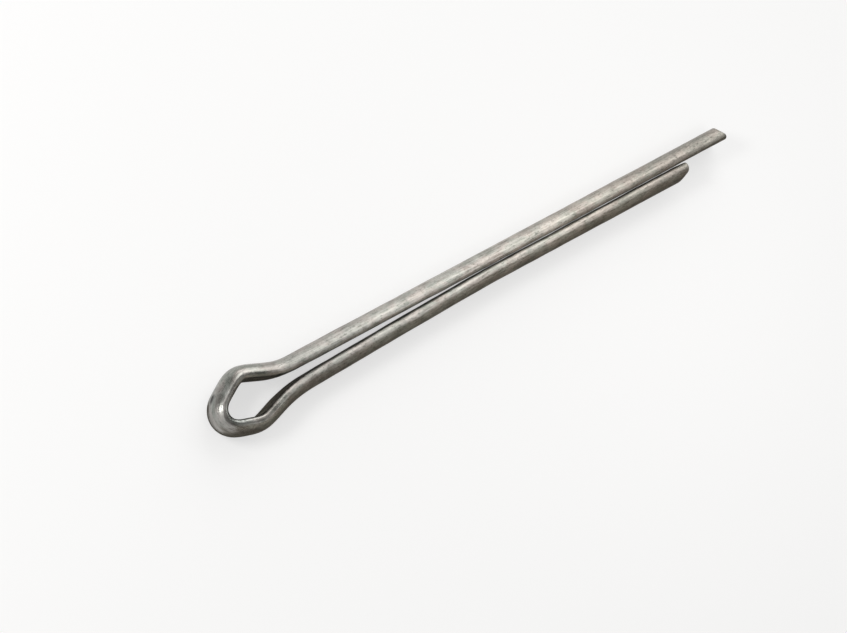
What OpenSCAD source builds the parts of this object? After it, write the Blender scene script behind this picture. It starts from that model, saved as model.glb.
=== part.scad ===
// Split cotter pin with an extended prong.
// One length of half-round wire is bent round into an eye and folded back on itself, so that the flat
// faces of its two legs lie together and their round backs make up one shank.
// X runs along the shank from the eye to the tips, Y across the legs and Z across the wire.
// The origin is on the shank's axis, where the eye seats on the rim of its hole.

/* [Wire] */
// Diameter of the shank that the two closed legs make
shank_d = 5.7; // [5:0.1:7]
// Gap left between the flat faces where the legs are closed
leg_gap = 0.15; // [0.1:0.05:0.3]
// Rounding of the wire's corners, where its flat meets its round back
corner_r = 0.65; // [0.3:0.05:0.75]

/* [Lengths] */
// Length from the seat under the eye to the end of the short leg
grip_l = 88.9; // [60:0.1:160]
// Length that the long leg stands past the short one
prong_l = 10.1; // [3:0.1:15]
// Length of the eye, from its nose to the seat
eye_l = 16.5; // [14:0.1:20]

/* [Eye] */
// Inner radius of the bend at the nose
nose_r = 1.6; // [1:0.1:2.2]
// Distance of the nose's centre from the shank's axis, towards the short leg
nose_shift = 1.1; // [0:0.1:1.5]
// Inner radius of the slight bow in the runs between one bend of the eye and the next
bow_r = 80; // [40:5:200]

/* [Eye, side of the long leg] */
// Reach of the eye's outside from the shank's axis
long_reach = 5.35; // [5:0.05:6.5]
// Angle to the shank at which the cheek leaves the nose
long_cheek_a = 31.5; // [24:0.5:40]
// Inner radius of the crown, the bend at the eye's widest place
long_crown_r = 1.5; // [1:0.1:2.5]
// Angle to the shank at which the flank meets the shoulder
long_flank_a = 21; // [16:0.5:24]
// Radius of the shoulder, where the flank turns into the leg, at the flat face
long_shoulder_r = 15; // [8:0.5:20]

/* [Eye, side of the short leg] */
// Reach of the eye's outside from the shank's axis
short_reach = 6.5; // [6.2:0.05:7.5]
// Angle to the shank at which the cheek leaves the nose
short_cheek_a = 17.75; // [12:0.25:24]
// Inner radius of the crown
short_crown_r = 2.25; // [1.5:0.05:3]
// Angle to the shank at which the flank meets the shoulder
short_flank_a = 18.5; // [15:0.5:22]
// Radius of the shoulder at the flat face
short_shoulder_r = 28; // [15:0.5:30]

/* [Closing of the short leg] */
// Length over which the short leg runs in towards the long one
run_in_l = 38; // [20:0.5:45]
// Angle to the shank at the start of that run
run_in_a = 2; // [1:0.1:2.5]
// Angle that its slight bow has taken off by its end
run_in_bow = 0.6; // [0.2:0.1:0.8]
// Radius of the last bend, which lays the short leg along the long one
close_r = 120; // [60:5:200]

/* [Cut ends] */
// Length of the bevel on the back of the long leg's end
long_bevel_l = 0.55; // [0.2:0.05:2]
// Depth of that bevel
long_bevel_w = 0.55; // [0.2:0.05:1.2]
// Angle round the wire from the middle of its back up to that bevel
long_bevel_a = 37; // [0:1:50]
// Slant of the short leg's cut, which leaves its round back shorter than its flat
short_cut_a = 8; // [0:1:20]
// Length of the bevel on the back of the short leg's end
short_bevel_l = 2; // [0.5:0.1:3]
// Depth of that bevel
short_bevel_w = 1.2; // [0.3:0.1:1.5]

/* [Hidden] */
$fn = 96;
shank_r = shank_d / 2;
half_gap = leg_gap / 2;
// Thickness of the wire, from its flat to the top of its back
wire_t = shank_r - half_gap;
nose_x = nose_r + wire_t - eye_l;
tip_x = grip_l + prong_l;
// Angle and radius at the end of the short leg's run in
run_out_a = run_in_a - run_in_bow;
run_r = round(run_in_l / run_in_bow * 180 / PI);
// A cutting block this large covers a whole end of the wire
block = 4 * shank_d;

// A side of the eye as [reach, nose offset, cheek angle, crown radius, flank angle, shoulder radius,
// angle at which its leg leaves the shoulder, height that the leg has yet to lose there]
LONG = [long_reach, -nose_shift, long_cheek_a, long_crown_r, long_flank_a, long_shoulder_r, 0, 0];
SHORT = [short_reach, nose_shift, short_cheek_a, short_crown_r, short_flank_a, short_shoulder_r,
         run_in_a, run_r * (cos(run_out_a) - cos(run_in_a)) + close_r * (1 - cos(run_out_a))];

// Angles are set to a thousandth of a degree
function set_a(a) = round(a * 1000) / 1000;

// Angle at which the bowed cheek reaches the crown: what the height between nose and crown leaves it
function crown_in(s) =
    set_a(acos((s[0] - wire_t - s[1] - s[3] + (bow_r - nose_r) * cos(s[2])) / (bow_r - s[3])));

// Angle at which the crown passes into the bowed flank, from the height between crown and leg
function crown_out(s) =
    set_a(acos((s[0] - wire_t - half_gap - s[3] - s[7] + (bow_r + s[5]) * cos(s[4])
                - s[5] * cos(s[6])) / (bow_r - s[3])));

// X of the shoulder's end, where the leg begins
function leg_x(s) =
    nose_x + (bow_r - nose_r) * sin(s[2]) + (s[3] - bow_r) * (sin(crown_in(s)) + sin(crown_out(s)))
    + (bow_r + s[5]) * sin(s[4]) - s[5] * sin(s[6]);

// The wire's bends from the long leg to the short one, as [radius at the flat face, angle], with a
// negative radius where the flat face is on the outside of the bend
BENDS = [
    [-long_shoulder_r, long_flank_a],
    [bow_r, long_flank_a - crown_out(LONG)],
    [long_crown_r, crown_out(LONG) + crown_in(LONG)],
    [bow_r, long_cheek_a - crown_in(LONG)],
    [nose_r, 180 - long_cheek_a - short_cheek_a],
    [bow_r, short_cheek_a - crown_in(SHORT)],
    [short_crown_r, crown_in(SHORT) + crown_out(SHORT)],
    [bow_r, short_flank_a - crown_out(SHORT)],
    [-short_shoulder_r, short_flank_a - run_in_a],
    [-run_r, run_in_bow],
    [-close_r, run_out_a]
];

// Heading of the wire and place of its flat face at the start of bend i
function heading(i) = i == 0 ? 180 : heading(i - 1) + sign(BENDS[i - 1][0]) * BENDS[i - 1][1];
function left_of(a) = [-sin(a), cos(a)];
function place(i) =
    i == 0 ? [leg_x(LONG), half_gap]
           : place(i - 1) + BENDS[i - 1][0] * (left_of(heading(i - 1)) - left_of(heading(i)));
short_leg = place(len(BENDS));

// Section of the wire: its flat on x = 0, its round back struck from the shank's axis. The circles
// of its corners stand out of the back by a hair, so that they cross it instead of only touching it.
module wire_section() {
    hair = 0.001;
    reach = shank_r - corner_r + hair;
    corner_y = sqrt(pow(reach, 2) - pow(corner_r + half_gap, 2));
    // Where the line from the shank's axis through a corner's centre is well outside the shank
    far = 2 * shank_r / reach;
    far_x = far * (corner_r + half_gap) - half_gap;
    far_y = far * corner_y;

    intersection() {
        translate([-half_gap, 0]) circle(shank_r);
        union() {
            for (side = [-1, 1]) translate([corner_r, side * corner_y]) circle(corner_r);
            polygon([[0, -corner_y], [corner_r, -corner_y], [far_x, -far_y], [shank_d, -far_y],
                     [shank_d, far_y], [far_x, far_y], [corner_r, corner_y], [0, corner_y]]);
        }
    }
}

// Puts its children at p in two steps, hundredths first and then the rest. The runs of wire have to
// meet face to face, and a single step would be rounded to six digits.
module put(p) {
    coarse = [for (x = p) round(x * 100) / 100];
    translate(coarse) translate(p - coarse) children();
}

// A straight run of wire along X whose back is on the side of y
module straight(x1, x2, y) {
    put([x1, y]) rotate([90, 0, 90])
        linear_extrude(x2 - x1) mirror([y > 0 ? 0 : 1, 0]) wire_section();
}

// One bend of the wire. The back is to the right of the way the wire runs.
module bend(i) {
    r = BENDS[i][0];
    a = BENDS[i][1];
    put(place(i) + r * left_of(heading(i)))
        rotate_extrude(angle = a, start = r > 0 ? heading(i) - 90 : heading(i + 1) + 90)
            translate([abs(r), 0]) mirror([r > 0 ? 0 : 1, 0]) wire_section();
}

// All that lies beyond a cut through the origin, whose face looks along +X before it is turned
module beyond_cut() { translate([0, -block / 2, -block / 2]) cube(block); }

// What a bevel takes off the end of a leg: l along the wire and w deep, on the +Y side
module beyond_bevel(l, w) { translate([0, shank_r - w, 0]) rotate([0, 0, atan2(l, w)]) beyond_cut(); }

module cotter_pin() {
    color("#9c9a94")
        difference() {
            union() {
                straight(leg_x(LONG), tip_x, half_gap);
                for (i = [0 : len(BENDS) - 1]) bend(i);
                straight(short_leg.x, grip_l, short_leg.y);
            }
            translate([tip_x, 0, 0])
                rotate([long_bevel_a, 0, 0]) beyond_bevel(long_bevel_l, long_bevel_w);
            intersection() {
                translate([grip_l, 0, 0]) {
                    rotate([0, 0, -short_cut_a]) beyond_cut();
                    mirror([0, 1, 0]) beyond_bevel(short_bevel_l, short_bevel_w);
                }
                translate([grip_l - block, -block, -block]) cube([2 * block, block, 2 * block]);
            }
        }
}

cotter_pin();
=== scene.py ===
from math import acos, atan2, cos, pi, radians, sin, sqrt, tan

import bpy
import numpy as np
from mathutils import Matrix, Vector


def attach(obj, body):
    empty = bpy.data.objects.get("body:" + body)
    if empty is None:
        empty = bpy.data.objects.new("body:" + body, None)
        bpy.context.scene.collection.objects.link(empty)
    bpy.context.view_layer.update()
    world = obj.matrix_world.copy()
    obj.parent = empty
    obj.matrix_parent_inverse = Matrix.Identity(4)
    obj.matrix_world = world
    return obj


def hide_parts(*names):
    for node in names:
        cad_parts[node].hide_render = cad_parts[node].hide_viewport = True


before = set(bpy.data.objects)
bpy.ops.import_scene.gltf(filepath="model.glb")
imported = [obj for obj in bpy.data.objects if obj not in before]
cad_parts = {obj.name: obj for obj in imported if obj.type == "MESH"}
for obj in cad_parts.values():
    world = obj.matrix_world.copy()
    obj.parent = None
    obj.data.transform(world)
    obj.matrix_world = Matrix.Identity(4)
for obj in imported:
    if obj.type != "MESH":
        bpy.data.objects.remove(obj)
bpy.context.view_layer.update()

# Split cotter pin of folded half-round steel wire, with an open eye and one leg longer than the other.
# Its surface is worked out on the straight wire, as drawing, shearing and handling leave it, and the
# wire is then carried along its folded path. Metres, with X along the shank from the eye to the tips,
# Y across the legs and Z up. A point of the straight wire is (s, u, v): s along the wire from the long
# leg's tip, u from the flat face towards the round back, v across the wire.

MM = 0.001
SEED = 7

# Wire
SHANK_R = 2.85 * MM
HALF_GAP = 0.075 * MM
WIRE_T = SHANK_R - HALF_GAP
# Corners as drawn, and as they have worn
DRAWN_CORNER_R = 0.65 * MM
CORNER_R = 0.9 * MM

# Lengths, from the seat under the eye
GRIP_L = 88.9 * MM
PRONG_L = 10.1 * MM
EYE_L = 16.5 * MM
LONG_TIP_X = GRIP_L + PRONG_L

# Eye and legs, as the wire is bent
NOSE_R = 1.6 * MM
NOSE_SHIFT = 1.1 * MM
BOW_R = 80 * MM
LONG_SIDE = dict(reach=5.35 * MM, nose=-NOSE_SHIFT, cheek=radians(31.5), crown_r=1.5 * MM,
                 flank=radians(21), shoulder_r=15 * MM, leg=0.0, drop=0.0)
RUN_IN_L = 38 * MM
RUN_IN_A = radians(2)
RUN_IN_BOW = radians(0.6)
CLOSE_R = 120 * MM
CLOSE_A = RUN_IN_A - RUN_IN_BOW
RUN_IN_R = RUN_IN_L / RUN_IN_BOW
SHORT_SIDE = dict(reach=6.5 * MM, nose=NOSE_SHIFT, cheek=radians(17.75), crown_r=2.25 * MM,
                  flank=radians(18.5), shoulder_r=28 * MM, leg=RUN_IN_A,
                  drop=RUN_IN_R * (cos(CLOSE_A) - cos(RUN_IN_A)) + CLOSE_R * (1 - cos(CLOSE_A)))

# What bending does to the wire's back: how much it thins at the middle of a bend, and over what length
NOSE_THIN = 0.10 * MM
LONG_CROWN_THIN = 0.02 * MM
SHORT_CROWN_THIN = 0.08 * MM
THIN_SPREAD = 2.0 * MM
# Length over which one bend passes into the next, and how many such lengths the bell curve reaches
BEND_BLEND = 0.9 * MM
BELL_REACH = 3

# Cut ends
END_L = 5 * MM
LONG_BEVEL_L = 0.55 * MM
LONG_BEVEL_W = 0.55 * MM
LONG_BEVEL_A = radians(37)
SHORT_CUT_A = radians(8)
SHORT_BEVEL_L = 2.0 * MM
SHORT_BEVEL_W = 1.2 * MM
END_SOFTNESS = 0.12 * MM
RIM_R = 0.16 * MM
# Height of a cut end's middle above the flat face, as a share of the wire's thickness
END_MIDDLE = 0.45

# Grid of the mesh, and steps along the lines that it is worked out from
STATIONS = 830
FLAT_POINTS = 20
CORNER_POINTS = 13
BACK_POINTS = 56
RIM_RINGS = 4
CAP_RINGS = 9
PATH_STEPS = 12000
BACK_STEPS = 6000


# ---------------------------------------------------------------- the folded path

def crown_angles(side):
    """Angles to the shank at which the cheek reaches the crown and the crown passes into the flank:
    the arc cosine of the height that is left between them, over the bow's radius less the crown's."""
    low = side["reach"] - WIRE_T - side["crown_r"]
    span = BOW_R - side["crown_r"]
    into = acos((low - side["nose"] + (BOW_R - NOSE_R) * cos(side["cheek"])) / span)
    out = acos((low - HALF_GAP - side["drop"] + (BOW_R + side["shoulder_r"]) * cos(side["flank"])
                - side["shoulder_r"] * cos(side["leg"])) / span)
    return into, out


def leg_start(side):
    """X at which the leg leaves the shoulder: the nose's centre and the run of each arc in turn."""
    into, out = crown_angles(side)
    return (NOSE_R + WIRE_T - EYE_L + (BOW_R - NOSE_R) * sin(side["cheek"])
            + (side["crown_r"] - BOW_R) * (sin(into) + sin(out))
            + (BOW_R + side["shoulder_r"]) * sin(side["flank"]) - side["shoulder_r"] * sin(side["leg"]))


LONG_IN, LONG_OUT = crown_angles(LONG_SIDE)
SHORT_IN, SHORT_OUT = crown_angles(SHORT_SIDE)
# Bends from the long leg to the short one as (radius at the flat face, angle), with a negative radius
# where the flat face is on the outside of the bend
BENDS = np.array([
    (-LONG_SIDE["shoulder_r"], LONG_SIDE["flank"]),
    (BOW_R, LONG_SIDE["flank"] - LONG_OUT),
    (LONG_SIDE["crown_r"], LONG_OUT + LONG_IN),
    (BOW_R, LONG_SIDE["cheek"] - LONG_IN),
    (NOSE_R, pi - LONG_SIDE["cheek"] - SHORT_SIDE["cheek"]),
    (BOW_R, SHORT_SIDE["cheek"] - SHORT_IN),
    (SHORT_SIDE["crown_r"], SHORT_IN + SHORT_OUT),
    (BOW_R, SHORT_SIDE["flank"] - SHORT_OUT),
    (-SHORT_SIDE["shoulder_r"], SHORT_SIDE["flank"] - RUN_IN_A),
    (-RUN_IN_R, RUN_IN_BOW),
    (-CLOSE_R, CLOSE_A),
])
# The tight bends' places among the wire's runs, where run 0 is the straight long leg
LONG_CROWN, NOSE, SHORT_CROWN = 3, 5, 7


def fold_runs():
    """The wire's runs from tip to tip: length, turn, and heading and place of the flat face where each
    starts. A run's chord is its length times sin(a)/a, a being half its turn, and lies a on from its
    heading."""
    turn = np.concatenate([[0.0], np.sign(BENDS[:, 0]) * BENDS[:, 1], [0.0]])
    length = np.concatenate([[LONG_TIP_X - leg_start(LONG_SIDE)], np.abs(BENDS[:, 0]) * BENDS[:, 1], [0.0]])
    heading = pi + np.concatenate([[0.0], np.cumsum(turn)[:-1]])
    chord = length * np.sinc(turn / 2 / pi)
    x = LONG_TIP_X + np.concatenate([[0.0], np.cumsum(chord * np.cos(heading + turn / 2))[:-1]])
    y = HALF_GAP + np.concatenate([[0.0], np.cumsum(chord * np.sin(heading + turn / 2))[:-1]])
    length[-1] = GRIP_L - x[-1]
    return length, turn, heading, x, y


RUN_L, RUN_TURN, RUN_HEADING, RUN_X, RUN_Y = fold_runs()
RUN_S = np.concatenate([[0.0], np.cumsum(RUN_L)[:-1]])
WIRE_L = RUN_L.sum()


def run_at(s):
    """Which run of the wire each length s lies on."""
    return np.clip(np.searchsorted(RUN_S, s, side="right") - 1, 0, len(RUN_S) - 1)


def bend_middle(run):
    """Length s at the middle of a run."""
    return RUN_S[run] + RUN_L[run] / 2


def flat_line(s):
    """Place of the flat face at s: the chord of the part of its run that lies before s."""
    run = run_at(s)
    along = s - RUN_S[run]
    half = RUN_TURN[run] / 2 * along / RUN_L[run]
    chord = along * np.sinc(half / pi)
    return np.stack([RUN_X[run] + chord * np.cos(RUN_HEADING[run] + half),
                     RUN_Y[run] + chord * np.sin(RUN_HEADING[run] + half)], -1)


def eased(line, step):
    """A line of places, averaged under a bell curve so that one bend passes into the next, plus the
    average of what that took off, so that the bends keep their place."""
    steps = int(BELL_REACH * BEND_BLEND / step)
    bell = np.exp(-(np.arange(-steps, steps + 1) * step / BEND_BLEND) ** 2 / 2)
    bell /= bell.sum()

    def average(places):
        longer = np.pad(places, ((steps, steps), (0, 0)), mode="reflect", reflect_type="odd")
        return np.stack([np.convolve(longer[:, k], bell, mode="valid") for k in (0, 1)], -1)

    once = average(line)
    return once + average(line - once)


def folded(s, u, v):
    """Carries points of the straight wire to the folded one: the flat face's eased place at s, plus u
    to the right of the way the wire runs there, with v as Z."""
    line = np.linspace(-END_L, WIRE_L + END_L, PATH_STEPS)
    place = eased(flat_line(line), line[1] - line[0])
    way = np.gradient(place, axis=0)
    x, y, way_x, way_y = [np.interp(s, line, a) for a in (place[:, 0], place[:, 1], way[:, 0], way[:, 1])]
    size = np.hypot(way_x, way_y)
    return np.stack([x + u * way_y / size, y - u * way_x / size, v], -1)


# ---------------------------------------------------------------- the straight wire

def corner_place(corner_r):
    """Height v of a corner's centre, where the corner touches both the flat and the round back."""
    return sqrt((SHANK_R - corner_r) ** 2 - (corner_r + HALF_GAP) ** 2)


def wire_profile():
    """Points (u, v) round the wire's section and the outward direction at each: its flat, a rounded
    corner, the round back struck from the shank's axis, and the other corner, as one closed line. It is
    then stretched in v to the height that the wire has with the corners it was drawn with."""
    corner_v = corner_place(CORNER_R)
    meet = atan2(corner_v, CORNER_R + HALF_GAP)
    taller = (corner_place(DRAWN_CORNER_R) + DRAWN_CORNER_R) / (corner_v + CORNER_R)

    def share(count):
        return (np.arange(count) + 0.5) / count

    flat = np.stack([0 * share(FLAT_POINTS), corner_v * (1 - 2 * share(FLAT_POINTS))], -1)
    turns = (-pi + (pi - meet) * share(CORNER_POINTS), -meet + 2 * meet * share(BACK_POINTS),
             meet + (pi - meet) * share(CORNER_POINTS))
    rays = [np.stack([np.cos(turn), np.sin(turn)], -1) for turn in turns]
    points = [flat, [CORNER_R, -corner_v] + CORNER_R * rays[0],
              [-HALF_GAP, 0] + SHANK_R * rays[1], [CORNER_R, corner_v] + CORNER_R * rays[2]]
    out = [np.tile([-1.0, 0.0], (FLAT_POINTS, 1))] + rays
    return np.concatenate(points) * [1, taller], np.concatenate(out)


def even_on_back(count):
    """Lengths s of the stations, evenly spaced along the back. Wherever the flat face is on the inside
    of a bend, the back is longer than it by the wire's thickness times the bend's turn."""
    s = np.linspace(0, WIRE_L, BACK_STEPS)
    run = run_at(s)
    stretch = np.maximum(1 + WIRE_T * RUN_TURN[run] / RUN_L[run], 1)
    travelled = np.concatenate([[0], np.cumsum((stretch[1:] + stretch[:-1]) / 2)])
    return np.interp(np.linspace(0, travelled[-1], count), travelled, s)


def thinning(s):
    """How far the back has drawn in at s: a bell curve about the middle of each tight bend."""
    bends = ((NOSE, NOSE_THIN), (LONG_CROWN, LONG_CROWN_THIN), (SHORT_CROWN, SHORT_CROWN_THIN))
    return sum(depth * np.exp(-((s - bend_middle(run)) / THIN_SPREAD) ** 2) for run, depth in bends)


def waves(points, lengths, count, rng):
    """Even random relief from 0 to 1: the sum of cosine waves of random direction and phase, each about
    as long along each axis as the given lengths, over three times the root of their count."""
    way = rng.normal(size=(count, 3)) / np.array(lengths)
    phase = rng.uniform(0, 2 * pi, count)
    total = sum(np.cos(2 * pi * (points @ w) + p) for w, p in zip(way, phase))
    return np.clip(0.5 + total / (3 * sqrt(count)), 0, 1)


def dents(points, count, sizes, depths, stretch, rng):
    """Depth of small knocks: bell-shaped hollows at random places on the wire, each longer along it
    than across by the given stretch."""
    depth = np.zeros(points.shape[:-1])
    turn = rng.uniform(0, 2 * pi, count)
    centres = np.stack([rng.uniform(0, WIRE_L, count), WIRE_T / 2 + SHANK_R * np.cos(turn),
                        SHANK_R * np.sin(turn)], -1)
    for centre, size, deep in zip(centres, rng.uniform(*sizes, count), rng.uniform(*depths, count)):
        away = (points - centre) / [size * stretch, size, size]
        depth += deep * np.exp(-(away ** 2).sum(-1))
    return depth


# Relief of the wire's surface, all of it pressed inwards
DRAWN_LINES = dict(lengths=(30 * MM, 0.7 * MM, 0.7 * MM), count=40)
DRAWN_DEPTH = 0.014 * MM
SWELL = dict(lengths=(9 * MM, 4 * MM, 4 * MM), count=24)
SWELL_DEPTH = 0.04 * MM
KNOCKS = dict(count=600, sizes=(0.35 * MM, 0.8 * MM), depths=(0.015 * MM, 0.055 * MM), stretch=1.6)
PITS = dict(count=420, sizes=(0.14 * MM, 0.26 * MM), depths=(0.02 * MM, 0.06 * MM), stretch=1.3)
# A deeper knock on the nose: its place on the straight wire, its size there and its depth
NOSE_KNOCK = (112.9 * MM, 2.7 * MM, 0.6 * MM)
NOSE_KNOCK_SIZE = (0.6 * MM, 0.3 * MM, 0.3 * MM)
NOSE_KNOCK_DEPTH = 0.10 * MM


def relief(points):
    """Inward depth of the surface: lines of the drawing die, the long waves of a hand-fed machine, and
    the knocks and pits of pins that have tumbled in a bin."""
    rng = np.random.default_rng(SEED)
    lines = waves(points, rng=rng, **DRAWN_LINES)
    swell = waves(points, rng=rng, **SWELL)
    away = (points - NOSE_KNOCK) / NOSE_KNOCK_SIZE
    return (DRAWN_DEPTH * lines + SWELL_DEPTH * swell
            + dents(points, rng=rng, **KNOCKS) + dents(points, rng=rng, **PITS)
            + NOSE_KNOCK_DEPTH * np.exp(-(away ** 2).sum(-1)))


def deepest_cut(*depths):
    """The largest of several depths, each passing softly into the next: the softness times the logarithm
    of the sum of the exponentials of each depth over the softness."""
    top = np.max(depths, axis=0)
    return top + END_SOFTNESS * np.log(sum(np.exp((d - top) / END_SOFTNESS) for d in depths))


def long_cut(u, v):
    """How far the cut of the long leg's end lies back from its tip: square, with a small bevel up the
    back, whose depth grows in a straight line past where it starts."""
    up_bevel = (u + HALF_GAP) * cos(LONG_BEVEL_A) + v * sin(LONG_BEVEL_A)
    bevel = (up_bevel - (SHANK_R - LONG_BEVEL_W)) * LONG_BEVEL_L / LONG_BEVEL_W
    return deepest_cut(np.zeros_like(u), bevel)


def short_cut(u, v):
    """How far the cut of the short leg's end lies back from its tip: slanted, with a long bevel on the
    back."""
    bevel = (u + HALF_GAP - (SHANK_R - SHORT_BEVEL_W)) * SHORT_BEVEL_L / SHORT_BEVEL_W
    return deepest_cut((u + HALF_GAP) * tan(SHORT_CUT_A), bevel)


def wire_surface():
    """Rings of points (s, u, v) from the long leg's tip to the short leg's: rings that spread over the
    cut end, a rounded rim, the length of the wire, and the same again at the other end. The points
    along the wire are drawn back by the cut of each end, the less the further they lie from it. Returns
    the rings with the outward direction round a ring, and the pole in the middle of each cut end."""
    section, out = wire_profile()
    s = np.repeat(even_on_back(STATIONS)[:, None], len(section), 1)
    middle = np.array([WIRE_T * END_MIDDLE, 0.0])

    def end_rings(cut):
        """Rings over a cut end, from near its pole to its rim, as (distance behind the tip, u, v)."""
        inner = section - out * RIM_R
        rings = [(middle + (inner - middle) * k / CAP_RINGS, 0.0) for k in range(1, CAP_RINGS + 1)]
        for k in range(RIM_RINGS, 0, -1):
            tilt = k / (RIM_RINGS + 1) * pi / 2
            rings.append((section - out * (RIM_R * (1 - cos(tilt))), RIM_R * (1 - sin(tilt))))
        return [np.column_stack([cut(*ring.T) + back, ring]) for ring, back in rings]

    drawn_back = ((long_cut(*section.T) + RIM_R) * np.clip(1 - s / END_L, 0, 1)
                  - (short_cut(*section.T) + RIM_R) * np.clip(1 - (WIRE_L - s) / END_L, 0, 1))
    shell = np.concatenate([(s + drawn_back)[..., None], np.broadcast_to(section, s.shape + (2,))], -1)
    long_end = np.array(end_rings(long_cut))
    short_end = np.array(end_rings(short_cut)[::-1])
    short_end[..., 0] = WIRE_L - short_end[..., 0]
    poles = [[long_cut(*middle), *middle], [WIRE_L - short_cut(*middle), *middle]]
    return np.concatenate([long_end, shell, short_end]), out, np.array(poles)


# ---------------------------------------------------------------- the pin

def pressed_in(grid, out):
    """The rings with their relief: each point moved inwards by its depth, which fades out over the cut
    ends, and the back drawn in where bending has thinned it."""
    caps = CAP_RINGS + RIM_RINGS
    fade = np.ones(len(grid))
    fade[:caps] = np.linspace(0, 1, caps)
    fade[-caps:] = np.linspace(1, 0, caps)
    pressed = grid.copy()
    pressed[..., 1:] -= out * (relief(grid) * fade[:, None])[..., None]
    pressed[..., 1] -= thinning(grid[..., 0]) * np.clip(grid[..., 1] / WIRE_T, 0, 1)
    return pressed


def ring_faces(rows, ring):
    """Four-sided faces between neighbouring rings, and a fan of triangles from each pole to the ring
    beside it. The poles' points come after those of the rings."""
    here = np.arange(ring)
    beside = (here + 1) % ring
    first = np.arange(rows - 1)[:, None] * ring
    quads = np.stack([first + here, first + ring + here, first + ring + beside, first + beside], -1)
    last = (rows - 1) * ring
    pole = np.full(ring, rows * ring)
    fans = np.concatenate([np.stack([here, beside, pole], -1),
                           np.stack([last + beside, last + here, pole + 1], -1)])
    return quads.reshape(-1, 4).tolist() + fans.tolist()


def cotter_pin():
    """The pin as one closed mesh: the wire's rings folded along their path. It keeps each point's place
    on the straight wire, for the finish to follow."""
    grid, out, poles = wire_surface()
    straight = np.concatenate([grid.reshape(-1, 3), poles])
    pressed = np.concatenate([pressed_in(grid, out).reshape(-1, 3), poles])

    mesh = bpy.data.meshes.new("folded_wire")
    mesh.from_pydata(folded(*pressed.T), [], ring_faces(*grid.shape[:2]))
    mesh.polygons.foreach_set("use_smooth", np.ones(len(mesh.polygons), bool))
    drawn = mesh.attributes.new("drawn_wire", "FLOAT_VECTOR", "POINT")
    drawn.data.foreach_set("vector", straight.astype(np.float32).ravel())
    mesh.validate()
    mesh.update()
    pin = bpy.data.objects.new("folded_wire", mesh)
    bpy.context.scene.collection.objects.link(pin)
    return pin


# ---------------------------------------------------------------- the finish

def linear(hex_colour):
    """An sRGB hex colour as linear red, green, blue and a full alpha."""
    parts = [int(hex_colour[i:i + 2], 16) / 255 for i in (1, 3, 5)]
    return tuple(c / 12.92 if c <= 0.04045 else ((c + 0.055) / 1.055) ** 2.4 for c in parts) + (1.0,)


def add(tree, kind, inputs=(), **settings):
    """A node of that kind in the tree, with its settings made. Its inputs, in order or by name, are each
    given a value, another node, whose first output is joined to it, or one of a node's outputs."""
    node = tree.nodes.new("ShaderNode" + kind)
    for name, value in settings.items():
        setattr(node, name, value)
    for name, value in inputs.items() if isinstance(inputs, dict) else enumerate(inputs):
        if isinstance(value, bpy.types.Node):
            value = value.outputs[0]
        if isinstance(value, bpy.types.NodeSocket):
            tree.links.new(value, node.inputs[name])
        else:
            node.inputs[name].default_value = value
    return node


def new_material(name):
    """A node material with nothing in it, and its tree."""
    material = bpy.data.materials.new(name)
    material.use_nodes = True
    material.node_tree.nodes.clear()
    return material, material.node_tree


# Marks on the skin, as noise that is stretched along the wire: length and width in millimetres, levels
# of detail, and the strength of each level against the one before. Real drawing lines are about 0.05 mm
# wide and real speckle about 0.1 mm, both too fine to show, so they are drawn as coarse as they need to
# be: the hairlines 0.2 mm wide, the streaks that they gather into 0.3 mm, and the speckle 0.32 mm.
MARKS = dict(
    streaks=(6.5, 0.3, 3.0, 0.5),
    hairlines=(5.0, 0.2, 2.0, 0.5),
    mottle=(2.1, 1.5, 4.0, 0.6),
    tint=(3.0, 1.8, 2.0, 0.5),
    speckle=(0.48, 0.32, 2.0, 0.6),
)
# Zones along the wire, measured from the middle of the nose. The legs keep their full colour at this place
# for this length either way, and beyond it are painted darker: painted shade where the lamps' pool of light
# on the mid-legs fades. The bending tools have burnished the eye.
LIT_BAND_FROM_NOSE = 56 * MM
LIT_BAND_L = 18 * MM
LIT_BAND_FADE = 26 * MM
BURNISHED_L = 9 * MM
BURNISHED_FADE = 9 * MM
# Shares that a mark or a distance gives, as (which, from, to, share at from, share at to)
SHARES = dict(
    # Beyond the lit band: painted shade where the lamps' pool of light on the mid-legs fades
    beyond_lit_band=("from_lit_band", LIT_BAND_L, LIT_BAND_L + LIT_BAND_FADE, 0, 1),
    burnished=("from_nose", BURNISHED_L, BURNISHED_L + BURNISHED_FADE, 1, 0),
    past_nose=("from_nose", 3 * MM, 9 * MM, 0, 1),
    towards_tips=("from_nose", 50 * MM, 90 * MM, 0, 1),
    # Knock: painted shade in the hollow of the knock on the nose
    knock_shade=("from_knock", 0.25 * MM, 0.7 * MM, 0.85, 0),
    pale_cloud=("mottle", 0.38, 0.62, 0, 1),
    pink_cast=("tint", 0.42, 0.58, 0, 1),
    bright_lines=("streaks", 0.4, 0.65, 0, 0.45),
    lines_kept=("beyond_lit_band", 0, 1, 1, 0.4),
    bright_grain=("speckle", 0.3, 0.5, 0.2, 0),
    pitted=("speckle", 0.60, 0.68, 0, 1),
    rough_mottle=("mottle", 0.3, 0.7, 0.36, 0.48),
    rough_streaks=("streaks", 0.3, 0.7, 0.04, -0.04),
    height_kept=("burnished", 0, 1, 1, 0.45),
)
# Colours of the skin: clouds of oil and handling, with a faint cast of green and of pink
DARK_CLOUD, PALE_CLOUD = "#75746f", "#b5b2ac"
GREEN_CAST, PINK_CAST = "#8f958b", "#a3958d"
CAST_SHARE = 0.35
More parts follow.
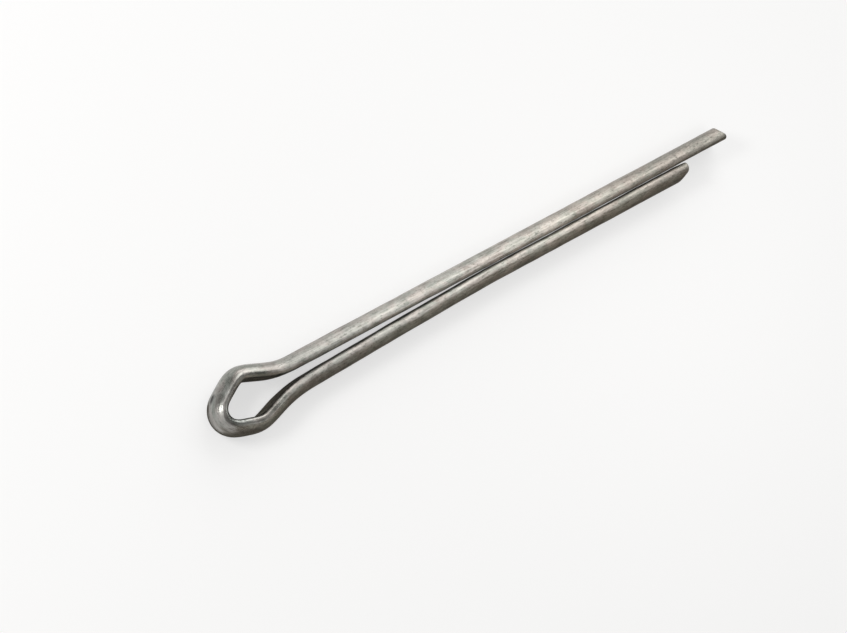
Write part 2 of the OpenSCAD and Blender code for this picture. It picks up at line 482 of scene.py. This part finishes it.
# What lies over them: painted shade beyond the mid-legs' lit band, less of it where the eye is burnished,
# bright lines and grain, dirt, and painted shade in the nose's knock
PAINTED_SHADE, PAINTED_SHADE_SHARE, SHADE_CLEARED_ON_EYE = "#6b6a68", 0.5, 0.8
BRIGHT_LINES = "#c2bfb9"
BRIGHT_GRAIN = "#cbc8c2"
PIT_DIRT, PIT_DIRT_SHARE = "#4c4b49", 0.45
# Painted shade in the hollow of the knock on the nose
KNOCK_SHADE = "#2e2d2c"
# Hue that the whole skin takes at the nose, on the legs and at the tips
NOSE_HUE, LEG_HUE, TIP_HUE = "#f8fcff", "#ffffff", "#fffbf6"
# What each adds to the roughness of the mottle and the streaks
ROUGHER = dict(pitted=0.15, beyond_lit_band=0.03, burnished=-0.14)
# Heights of the lines and the speckle, as shares of the bump's depth
HAIRLINE_HEIGHT = 0.36
SPECKLE_HEIGHT = 0.33
BUMP_DEPTH = 0.155 * MM


def drawn_steel():
    """Drawn mild steel wire, pulled cold through a die and left plain: a satin grey skin with fine
    lines along it, clouded where oil and handling have dulled it, and peppered with tiny dark pits. The
    bent eye is burnished smooth and cooler, and the tips are a little rougher and warmer. Beyond a band on
    the mid-legs the colour is painted darker, less so on the eye: painted shade where the lamps' pool of
    light fades."""
    material, tree = new_material("drawn_mild_steel")
    wire = add(tree, "Attribute", attribute_name="drawn_wire").outputs["Vector"]

    # Distances, marks and shares at each point of the skin
    here = {"s": add(tree, "SeparateXYZ", [wire])}
    for name, start, middle in (("from_nose", "s", bend_middle(NOSE)),
                                ("from_lit_band", "from_nose", LIT_BAND_FROM_NOSE)):
        away = add(tree, "Math", (here[start], middle), operation="SUBTRACT")
        here[name] = add(tree, "Math", [away], operation="ABSOLUTE")
    here["from_knock"] = add(tree, "VectorMath", (wire, NOSE_KNOCK), operation="DISTANCE").outputs["Value"]
    for name, (length, width, detail, strength) in MARKS.items():
        scale = [1 / (size * MM) for size in (length, width, width)]
        marks = add(tree, "Mapping", {"Vector": wire, "Scale": scale})
        here[name] = add(tree, "TexNoise",
                       {"Vector": marks, "Scale": 1.0, "Detail": detail, "Roughness": strength})
    for name, (which, *ramp) in SHARES.items():
        here[name] = add(tree, "MapRange", (here[which], *ramp))

    # Painted shade beyond the mid-legs' lit band, where the lamps' pool of light fades, less of it on the
    # burnished eye
    cleared = add(tree, "Math", (here["burnished"], SHADE_CLEARED_ON_EYE), operation="MULTIPLY")
    painted_shade = add(tree, "Math", (here["beyond_lit_band"], cleared), operation="SUBTRACT")
    painted_shade = add(tree, "Math", (painted_shade, PAINTED_SHADE_SHARE), operation="MULTIPLY")
    lines = add(tree, "Math", (here["bright_lines"], here["lines_kept"]), operation="MULTIPLY")
    dirt = add(tree, "Math", (here["pitted"], PIT_DIRT_SHARE), operation="MULTIPLY")

    cloud = add(tree, "MixRGB", (here["pale_cloud"], linear(DARK_CLOUD), linear(PALE_CLOUD)))
    cast = add(tree, "MixRGB", (here["pink_cast"], linear(GREEN_CAST), linear(PINK_CAST)))
    skin = add(tree, "MixRGB", (CAST_SHARE, cloud, cast))
    # Over the skin: painted shade beyond the lit band, bright lines and grain, dirt, and painted shade in
    # the nose's knock
    for share, colour in ((painted_shade, PAINTED_SHADE), (lines, BRIGHT_LINES), (here["bright_grain"], BRIGHT_GRAIN),
                          (dirt, PIT_DIRT), (here["knock_shade"], KNOCK_SHADE)):
        skin = add(tree, "MixRGB", (share, skin, linear(colour)))
    hue = add(tree, "MixRGB", (here["past_nose"], linear(NOSE_HUE), linear(LEG_HUE)))
    hue = add(tree, "MixRGB", (here["towards_tips"], hue, linear(TIP_HUE)))
    skin = add(tree, "MixRGB", (1.0, skin, hue), blend_type="MULTIPLY")

    rough = add(tree, "Math", (here["rough_mottle"], here["rough_streaks"]), operation="ADD")
    for name, amount in ROUGHER.items():
        change = add(tree, "Math", (here[name], amount), operation="MULTIPLY")
        rough = add(tree, "Math", (rough, change), operation="ADD")

    raised = [add(tree, "Math", (here[name], amount), operation="MULTIPLY")
              for name, amount in (("hairlines", HAIRLINE_HEIGHT), ("speckle", SPECKLE_HEIGHT))]
    height = add(tree, "Math", raised, operation="ADD")
    height = add(tree, "Math", (height, here["height_kept"]), operation="MULTIPLY")
    bump = add(tree, "Bump", {"Height": height, "Strength": 1.0, "Distance": BUMP_DEPTH})
    steel = add(tree, "BsdfPrincipled",
                {"Base Color": skin, "Metallic": 1.0, "Roughness": rough, "Normal": bump})
    add(tree, "OutputMaterial", {"Surface": steel})
    return material


# ---------------------------------------------------------------- the studio

# What the camera and the lamps are turned to: the middle of the pin's length, a little towards the tips
AIM_SHIFT = 1.025 * MM
AIM = Vector(((LONG_TIP_X - EYE_L) / 2 + AIM_SHIFT, 0, 0))

WHITE = (1, 1, 1, 1)
PAPER = "#fbfaf8"
FLOOR_SIZE = 4.0
# Share of the floor that the eye and the metal see as plain white, over the paper with its shadow
FLOOR_WHITE = 0.6
# Strength of the white room's light on matt surfaces
ROOM_LIGHT = 0.4
# Soft boxes as (name, direction from the pin, distance, width, height, brightness)
SOFT_BOXES = (
    ("back_box", (0.62, 0.60, 0.50), 0.5, 0.66, 0.50, 1.6),
    ("top_box", (0.548, -0.32, 0.775), 0.088, 0.03, 0.022, 3.5),
    ("front_box", (-0.697, 0.442, 0.564), 0.385, 0.12, 0.08, 19.0),
)
# Grey cards that give bright metal its dark side, as (name, centre, the way it faces, width, height,
# grey). The two cards that lie just above the floor stand in for the pin's shadow on the floor as the metal
# sees it: a painted shadow. The nose flag hangs over the nose.
GREY_CARDS = (
    ("side_card", (0.26, -0.3, 0.15), (0, 1, 0), 0.70, 0.3, "#b8b3a9"),
    # Painted shadow: the floor's shade beside and under the pin, as the metal sees it, in the next two
    # cards
    ("floor_shadow_card", (0.1665, -0.1485, -0.0026), (0, 0, 1), 0.367, 0.303, "#807b72"),
    ("nose_floor_shadow_card", (-0.029, -0.157, -0.0026), (0, 0, 1), 0.024, 0.30, "#aeaaa2"),
    ("end_card", (0.4, -0.06, 0.12), (-1, 0, 0), 0.48, 0.26, "#4c4946"),
    ("nose_flag", (-0.004, 0.0005, 0.016), (-0.4, 0, -0.92), 0.020, 0.011, "#8e8e8c"),
    ("top_card", (-0.12, -0.16, 0.43), (0.29, 0.36, -0.88), 0.56, 0.54, "#737371"),
    ("back_card", (-0.16, 0.4, 0.21), (0.4, -0.9, 0), 0.42, 0.46, "#b4b4b2"),
)


def seen_directly(tree):
    """1 for what the camera, or metal or glass in front of it, sees, and 0 for the light that falls on
    matt surfaces."""
    path = add(tree, "LightPath").outputs
    either = add(tree, "Math", (path["Is Camera Ray"], path["Is Glossy Ray"]), operation="MAXIMUM")
    return add(tree, "Math", (either, path["Is Transmission Ray"]), operation="MAXIMUM")


def floor_paper():
    """Matt white paper sweep, plain pulp with no coating: it takes the pin's shadow and has no shine.
    To the eye and to the metal it is part plain white, so that its shadow is a light one."""
    material, tree = new_material("matt_white_paper")
    paper = add(tree, "BsdfDiffuse", {"Color": linear(PAPER)})
    white = add(tree, "Emission", {"Color": WHITE, "Strength": 1.0})
    share = add(tree, "Math", (seen_directly(tree), FLOOR_WHITE), operation="MULTIPLY")
    add(tree, "OutputMaterial", {"Surface": add(tree, "MixShader", (share, paper, white))})
    return material


def studio_sheet(name, material, centre, turn, width, height):
    """A flat, straight-sided sheet of a material, turned and set about its centre. It belongs to the
    studio and not to the pin."""
    corners = [(-width, -height), (width, -height), (width, height), (-width, height)]
    points = [Vector(centre) + turn @ Vector((x / 2, y / 2, 0)) for x, y in corners]
    mesh = bpy.data.meshes.new(name)
    mesh.from_pydata(points, [], [(0, 1, 2, 3)])
    mesh.materials.append(material)
    sheet = bpy.data.objects.new(name, mesh)
    bpy.context.scene.collection.objects.link(sheet)
    return sheet


def soft_box(name, direction, distance, width, height, brightness):
    """A straight-sided lamp that faces the middle of the pin. Its power is its brightness times pi times
    its area."""
    lamp = bpy.data.lights.new(name, "AREA")
    lamp.shape = "RECTANGLE"
    lamp.size, lamp.size_y = width, height
    lamp.energy = brightness * pi * width * height
    box = bpy.data.objects.new(name, lamp)
    way = Vector(direction).normalized()
    box.location = AIM + distance * way
    box.rotation_euler = way.to_track_quat("Z", "Y").to_euler()
    box.visible_camera = False
    bpy.context.scene.collection.objects.link(box)


def grey_card(name, centre, facing, width, height, grey):
    """A sheet of grey card. Only the metal sees it."""
    material, tree = new_material(name)
    add(tree, "OutputMaterial", {"Surface": add(tree, "BsdfDiffuse", {"Color": linear(grey)})})
    turn = Vector(facing).to_track_quat("Z", "Y").to_matrix()
    card = studio_sheet(name, material, centre, turn, width, height)
    card.visible_camera = card.visible_diffuse = card.visible_shadow = False


def studio_air():
    """A plain white room that the eye and the metal see at full strength, while its light on matt
    surfaces is softer."""
    world = bpy.data.worlds.new("white_room")
    world.use_nodes = True
    tree = world.node_tree
    tree.nodes.clear()
    strength = add(tree, "MapRange", {"Value": seen_directly(tree), "To Min": ROOM_LIGHT, "To Max": 1.0})
    air = add(tree, "Background", {"Color": WHITE, "Strength": strength})
    add(tree, "OutputWorld", {"Surface": air})
    bpy.context.scene.world = world


# ---------------------------------------------------------------- the camera

IMAGE_W, IMAGE_H = 847, 633
VIEW_DISTANCE = 0.65
FOCAL_PIXELS = 3797.4
SENSOR_W = 36.0
CLIP_NEAR, CLIP_FAR = 0.01, 20.0
# The sight line leans from straight down: towards the eye, then towards the long leg, and is then
# rolled about itself
LEAN_TO_EYE = radians(30.825)
LEAN_TO_SIDE = radians(2.063)
ROLL = radians(26.986)
# Where the point it is aimed at falls in the frame, in pixels from the top left
AIM_U, AIM_V = 479.944, 270.988


def studio_camera():
    """A long lens above the eye's side of the pin, turned until the point it is aimed at falls where it
    should in the frame."""
    towards = Vector((-sin(LEAN_TO_EYE) * cos(LEAN_TO_SIDE), sin(LEAN_TO_SIDE),
                      cos(LEAN_TO_EYE) * cos(LEAN_TO_SIDE)))
    level = Vector((cos(LEAN_TO_EYE), 0, sin(LEAN_TO_EYE)))
    upright = towards.cross(level)
    right = cos(ROLL) * level - sin(ROLL) * upright
    up = sin(ROLL) * level + cos(ROLL) * upright
    off_right = (AIM_U - IMAGE_W / 2) / FOCAL_PIXELS
    off_up = (IMAGE_H / 2 - AIM_V) / FOCAL_PIXELS
    forward = (-towards - off_right * right - off_up * up).normalized()
    side = forward.cross(up).normalized()
    top = side.cross(forward)
    long_lens = bpy.data.cameras.new("studio_camera")
    long_lens.sensor_width = SENSOR_W
    long_lens.lens = SENSOR_W * FOCAL_PIXELS / IMAGE_W
    long_lens.clip_start, long_lens.clip_end = CLIP_NEAR, CLIP_FAR
    camera = bpy.data.objects.new("studio_camera", long_lens)
    turn = Matrix((side, top, -forward)).transposed().to_4x4()
    camera.matrix_world = Matrix.Translation(AIM + VIEW_DISTANCE * towards) @ turn
    bpy.context.scene.collection.objects.link(camera)
    bpy.context.scene.camera = camera


# ---------------------------------------------------------------- the pin and its studio

pin = cotter_pin()
pin.data.materials.append(drawn_steel())
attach(pin, "root")
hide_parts("cotter_pin")

underside = min(corner.co.z for corner in pin.data.vertices)
studio_sheet("floor", floor_paper(), (0, 0, underside), Matrix.Identity(3), FLOOR_SIZE, FLOOR_SIZE)
for box in SOFT_BOXES:
    soft_box(*box)
for card in GREY_CARDS:
    grey_card(*card)
studio_air()
studio_camera()
bpy.context.scene.view_settings.view_transform = "Standard"
